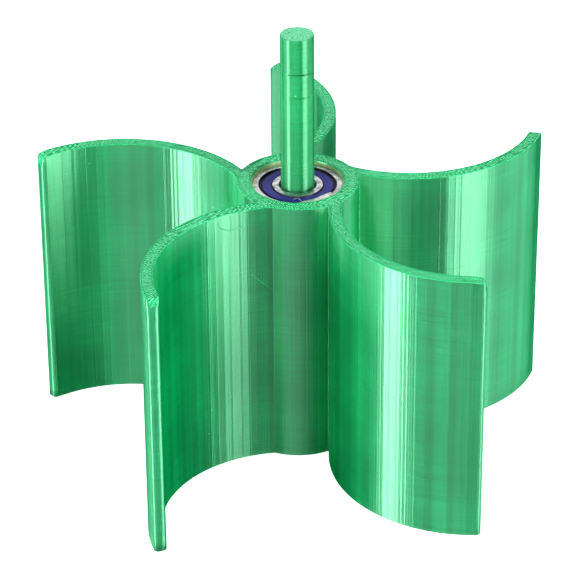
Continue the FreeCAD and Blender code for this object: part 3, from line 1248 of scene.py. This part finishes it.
@dataclass
class GlueBead:
    """Hardened glue in the corner between the upper outer ring and the hub."""

    inside: float = 10.45
    front_reach: float = 1.05
    front_turn: float = -1.35         # radians from the right to where the bead is broadest
    front_spread: float = 0.75
    smear_azimuth: float = -62.0
    smear_half_angle: float = 30.0
    smear_radius: float = 9.3
    smear_half_width: float = 1.15
    smear_segments: int = 48
    segments: int = 180

    def build(self, bead: bpy.types.Material, smear: bpy.types.Material) -> None:
        """Build the bead all round and the smear over the seal at the front right.

        Args:
            bead: finish of the bead.
            smear: finish of the smear.
        """
        low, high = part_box("adhesive_ring")
        outside, base, top = high.x / MM, low.z / MM, high.z / MM
        angle = np.arange(self.segments) * 2 * np.pi / self.segments
        front = np.exp(-((np.angle(np.exp(1j * (angle - self.front_turn)))) / self.front_spread) ** 2)
        inner = self.inside - self.front_reach * front + 0.22 * ripple(angle, 3, 11)
        crest = base + (top - base) * np.clip(0.5 + 0.6 * front + 0.2 * ripple(angle, 4, 9), 0.2, 1.0)
        share = np.linspace(0, 1, 9)[:, None]
        # from the ring's face up to the wall: the square of the way across, plus a low half wave
        radius = inner + (outside - inner) * share
        height = base + 0.02 + (crest - base) * (0.18 * np.sin(np.pi * share) + share**2.0)
        radius = np.concatenate([radius, np.full((1, self.segments), outside)])
        height = np.concatenate([height, np.full((1, self.segments), base)])
        height[0] = base
        grid = np.stack([radius * np.cos(angle), radius * np.sin(angle), np.minimum(height, top)], -1)
        shell = Shell()
        shell.add_grid(grid[::-1], None, 0, True, wrap_rows=True)
        settle(shell.build("adhesive_ring_bead", [bead], crease=50), "rotor", "adhesive", "adhesive_ring")
        self._smear(smear, base - 0.27)

    def _smear(self, finish: bpy.types.Material, base: float) -> None:
        """Build the smear.

        A ball of unit radius is mapped so that its east-west axis runs round the shaft, its
        north-south axis runs outwards and its height is a thin skin with an uneven edge.

        Args:
            finish: its material.
            base: height that the skin starts from.
        """
        shell = Shell()
        turn = np.arange(self.smear_segments) * 2 * np.pi / self.smear_segments
        lift = np.linspace(-80, 80, 13)
        ring = np.cos(np.radians(lift))[:, None]
        edge = 1 + 0.22 * ripple(turn, 8, 9)
        east, north = ring * np.cos(turn) * edge, ring * np.sin(turn) * edge
        up = np.sin(np.radians(lift))[:, None] * np.ones(self.smear_segments)
        azimuth = math.radians(self.smear_azimuth) + east * math.radians(self.smear_half_angle)
        radius = self.smear_radius + north * self.smear_half_width - 0.4 * east
        height = base + 0.2 + 0.12 * up + 0.2 * np.clip((radius - 9.0) / 1.2, 0, 1)
        grid = np.stack([radius * np.cos(azimuth), radius * np.sin(azimuth), height], -1)
        index = shell.add_grid(grid, None, 0, True)
        middle = grid.mean(1)
        shell.add_pole(index[-1], tuple(middle[-1] + [0, 0, 0.01]))
        shell.add_pole(index[0][::-1], tuple(middle[0] - [0, 0, 0.01]))
        settle(shell.build("adhesive_smear", [finish]), "rotor", "adhesive")


# ---------------------------------------------------------------------------- stray print details


@dataclass
class PrintFlaws:
    """What the nozzle left behind: stray hairs on a blade, a folded flake, the seam in each root."""

    plan: BladePlan = field(default_factory=BladePlan)
    hair: float = 0.055
    flake: float = 0.09
    flake_azimuths: tuple[float, ...] = (-98.0, -91.0, -84.0)
    flake_radii: tuple[float, ...] = (8.1, 6.5, 8.2)
    seam: float = 0.12
    seam_top: float = 67.75

    def build(self, finish: bpy.types.Material, flake: bpy.types.Material) -> None:
        """Build the seams, the flake by the inner ring and the hairs on one blade.

        Args:
            finish: finish of seams and hairs, a pale green that on the seams is a painted highlight.
            flake: finish of the flake.
        """
        self._seams(finish)
        self._flake(flake)
        self._hairs(finish)

    def _seams(self, finish: bpy.types.Material) -> None:
        """Build the upright seam in the corner between hub and each blade's convex face.

        Args:
            finish: their material.
        """
        convex = self.plan.bend + self.plan.half_thickness
        root = math.degrees(self.plan.root(convex + self.plan.root_round)[0])
        height = np.linspace(0.15, self.seam_top, 90)
        for blade in range(self.plan.blades):
            sway = 0.05 * ripple(height / 9, 20 + blade)
            path = self.plan.on_face(blade, Side.CONVEX, root + 0.35 + sway, height, 0.0)
            thick = self.seam * (1 + 0.35 * ripple(height, 30 + blade))
            self._hair(f"print_seam_{blade + 1}", path, finish, thick)

    def _flake(self, finish: bpy.types.Material) -> None:
        """Build the flake, a short strand folded once, on the seal.

        Args:
            finish: its material.
        """
        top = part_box("upper_bearing_top_seal")[1].z / MM
        corners = np.arange(len(self.flake_radii))
        along = np.linspace(0, corners[-1], 21)
        azimuth = np.radians(np.interp(along, corners, self.flake_azimuths))
        radius = np.interp(along, corners, self.flake_radii)
        fold = np.stack([radius * np.cos(azimuth), radius * np.sin(azimuth),
                         top + 0.12 + 0.1 * np.sin(np.linspace(0, 3 * np.pi, 21))], -1)
        self._hair("stray_flake", fold, finish, self.flake)

    def _hairs(self, finish: bpy.types.Material) -> None:
        """Build two hairs, waves of the share of the way along, on a blade's hollow face.

        Args:
            finish: their material.
        """
        turn = np.linspace(0, 1, 40)
        loop = self.plan.on_face(1, Side.HOLLOW, 28.5 - 7 * np.cos(np.pi * (1 + 1.1 * turn)),
                                 66.8 - 3.1 * np.sin(np.pi * (0.02 + 0.95 * turn)),
                                 0.1 + 0.25 * np.sin(np.pi * turn) ** 2)
        self._hair("stray_hair_loop", loop, finish, self.hair)
        strand = self.plan.on_face(1, Side.HOLLOW, 20.4 - 10.5 * turn, 51.0 - 4.5 * turn - 0.8 * turn**2,
                                   0.08 + 0.9 * np.sin(np.pi * turn))
        self._hair("stray_hair_strand", strand, finish, self.hair)

    @staticmethod
    def _hair(name: str, path: np.ndarray, finish: bpy.types.Material, radius: float | np.ndarray) -> None:
        """Carry a thin circle, tapered at both ends, along a path and close its ends.

        Args:
            name: the piece's name.
            path: (n, 3) points.
            finish: its material.
            radius: its radius, or one for each point.
        """
        share = np.linspace(0, 1, len(path))
        thick = radius * (0.25 + 0.75 * np.clip(12 * np.minimum(share, 1 - share), 0, 1) ** 0.5)
        shell = Shell()
        index = shell.add_grid(tube_grid(path, thick, 6), None, 0, True)
        shell.add_pole(index[-1], tuple(path[-1]))
        shell.add_pole(index[0][::-1], tuple(path[0]))
        settle(shell.build(name, [finish]), "rotor", "green_plastic")


# ---------------------------------------------------------------------------- studio


@dataclass(frozen=True)
class SoftBox:
    """An even rectangle of light that faces the object, told by how it looks from there.

    Azimuths are degrees to the right of the camera's side, elevations degrees above the floor,
    spans the angles that the box fills, and brightness its radiance.
    """

    name: str
    azimuth: float
    elevation: float
    span_across: float
    span_up: float
    brightness: float
    away: float = 0.75
    aim_height: float = 0.034

    def hang(self) -> None:
        """Make the light."""
        a, e = math.radians(self.azimuth), math.radians(self.elevation)
        data = bpy.data.lights.new(self.name, "AREA")
        data.shape = "RECTANGLE"
        data.size = 2 * self.away * math.cos(e) * math.tan(math.radians(self.span_across / 2))
        data.size_y = 2 * self.away * math.tan(math.radians(self.span_up / 2))
        data.energy = math.pi * data.size * data.size_y * self.brightness
        light = bpy.data.objects.new(self.name, data)
        out = Vector((math.sin(a) * math.cos(e), -math.cos(a) * math.cos(e), math.sin(e)))
        light.location = Vector((0, 0, self.aim_height)) + out * self.away
        light.rotation_mode = "QUATERNION"
        light.rotation_quaternion = out.to_track_quat("Z", "Y")
        bpy.context.scene.collection.objects.link(light)


@dataclass
class Studio:
    """Pale floor, a narrow soft box on the left, a wide one on the right, soft fill, and the camera."""

    floor_half: float = 4.0
    elevation: float = 30.1
    roll: float = -0.42
    distance: float = 748.99
    aim: tuple[float, float, float] = (-2.45, 0.0, 38.68)
    lens: float = 195.042
    sensor: float = 36.0
    floor_tone: float = 0.88
    floor_glow: float = 0.45
    room_light: float = 0.01
    backdrop_light: float = 1.0
    soft_boxes: tuple[SoftBox, ...] = (
        SoftBox("left_key", -62, 10, 11, 30, 13.0),
        SoftBox("left_inner", -51, 10, 13, 30, 3.7),
        SoftBox("left_high", -32, 46, 22, 28, 1.3),
        SoftBox("left_wing", -84, 10, 28, 30, 2.4),
        SoftBox("left_back", -120, 10, 14, 30, 3.2),
        SoftBox("right_key", 50, 10, 33, 30, 4.0),
        SoftBox("right_wing", 92, 7, 52, 14, 3.6),
        SoftBox("right_high", 60, 40, 24, 30, 4.8),
        SoftBox("front_fill", 4, 10, 42, 30, 0.6),
        SoftBox("front_high", -20, 46, 50, 28, 1.8),
        SoftBox("overhead", -10, 72, 100, 40, 0.8),
        SoftBox("backdrop", 180, 34, 80, 44, 0.9),
    )

    def build(self) -> None:
        """Make floor, world, lights and camera."""
        self._floor()
        self._world()
        for soft_box in self.soft_boxes:
            soft_box.hang()
        self._camera()
        bpy.context.scene.view_settings.view_transform = "Standard"
        bpy.context.scene.view_settings.look = "High Contrast"

    def _floor(self) -> None:
        """Make the level floor, which reflections leave out."""
        h = self.floor_half
        mesh = bpy.data.meshes.new("floor")
        mesh.from_pydata([(-h, -h, 0), (h, -h, 0), (h, h, 0), (-h, h, 0)], [], [(0, 1, 2, 3)])
        floor = bpy.data.objects.new("floor", mesh)
        bpy.context.scene.collection.objects.link(floor)
        material, tree = new_material("matte_white_sweep")
        shader = add_node(tree, "ShaderNodeBsdfPrincipled", inputs={
            "Base Color": grey(self.floor_tone), "Roughness": 0.9, "Specular IOR Level": 0.1,
            "Emission Color": grey(1.0), "Emission Strength": self.floor_glow})
        add_node(tree, "ShaderNodeOutputMaterial", inputs={0: shader.outputs[0]})
        mesh.materials.append(material)
        floor.visible_glossy = False

    def _world(self) -> None:
        """Light the room evenly, and show the camera a pale backdrop."""
        world = bpy.data.worlds.new("pale_room")
        world.use_nodes = True
        bpy.context.scene.world = world
        tree = world.node_tree
        tree.nodes.clear()
        ray = add_node(tree, "ShaderNodeLightPath")
        room = add_node(tree, "ShaderNodeBackground",
                        inputs={"Color": grey(1.0), "Strength": self.room_light})
        seen = add_node(tree, "ShaderNodeBackground",
                        inputs={"Color": grey(1.0), "Strength": self.backdrop_light})
        mix = add_node(tree, "ShaderNodeMixShader",
                       inputs={0: ray.outputs["Is Camera Ray"], 1: room.outputs[0], 2: seen.outputs[0]})
        add_node(tree, "ShaderNodeOutputWorld", inputs={0: mix.outputs[0]})

    def _camera(self) -> None:
        """Place the camera and its long lens."""
        e, r = math.radians(self.elevation), math.radians(self.roll)
        ahead = Vector((0, math.cos(e), -math.sin(e)))
        level = Vector((1, 0, 0))
        above = level.cross(ahead)
        right = level * math.cos(r) + above * math.sin(r)
        up = above * math.cos(r) - level * math.sin(r)
        data = bpy.data.cameras.new("camera")
        data.sensor_width = self.sensor
        data.lens = self.lens
        data.clip_start, data.clip_end = 0.01, 50
        camera = bpy.data.objects.new("camera", data)
        spot = Vector(self.aim) * MM - ahead * self.distance * MM
        turn = Matrix((right, up, -ahead)).transposed().to_4x4()
        camera.matrix_world = Matrix.Translation(spot) @ turn
        bpy.context.scene.collection.objects.link(camera)
        bpy.context.scene.camera = camera


def main() -> None:
    """Build every sub-assembly in order."""
    logging.basicConfig(level=logging.INFO, format="%(name)s: %(message)s")
    Studio().build()
    walls = SilkWalls().make()
    ends = SilkEnds().make()
    beads = SilkEnds(name="silk_pla_edge_bead", green="#1cb070", painted_pit_shade="#088a50", crest="#78dcac",
                     stroke_depth=0.01, stroke_share=0.15).make()
    PrintedRotor().build(walls, ends, beads)
    shaft_walls = SilkWalls(name="silk_pla_printed_shaft", green="#009c5e", painted_sheen_band_green="#008a50",
                            ior=2.3, streak_depth=0.01, layer_depth=0.09).make()
    # pale green for the shaft's top: painted light on the top face, and a painted highlight on the seams
    painted_lit_pale_green = SilkEnds(name="silk_pla_shaft_end_painted_lit", green="#6ad6a0", painted_pit_shade="#3aae78", crest="#a6f0c8",
                          stroke_depth=0.008, stroke_share=0.1).make()
    PrintedShaft().build(shaft_walls, painted_lit_pale_green)
    steel = GroundSteel().make()
    rubber = SealRubber(face_inner=6.2, face_outer=8.35).make()
    balls = PolishedSteel("lapped_ball_steel", "#d8d8dc", 0.08).make()
    cage = PolishedSteel("pressed_cage_strip", "#b4b2ac", 0.25).make()
    for place in Place:
        SealedBearing(place).build(steel, rubber, balls, cage)
    bead = HardGlue("set_clear_glue", "#9fc98a", "#c8d6a8", 0.35).make()
    smear = HardGlue("set_clouded_glue", "#a4b0a2", "#e3e8de", 0.2).make()
    GlueBead().build(bead, smear)
    # seams and hairs take the shaft end's pale green; on the seams it is a painted highlight
    PrintFlaws().build(painted_lit_pale_green, smear)


if __name__ == "__main__":
    main()
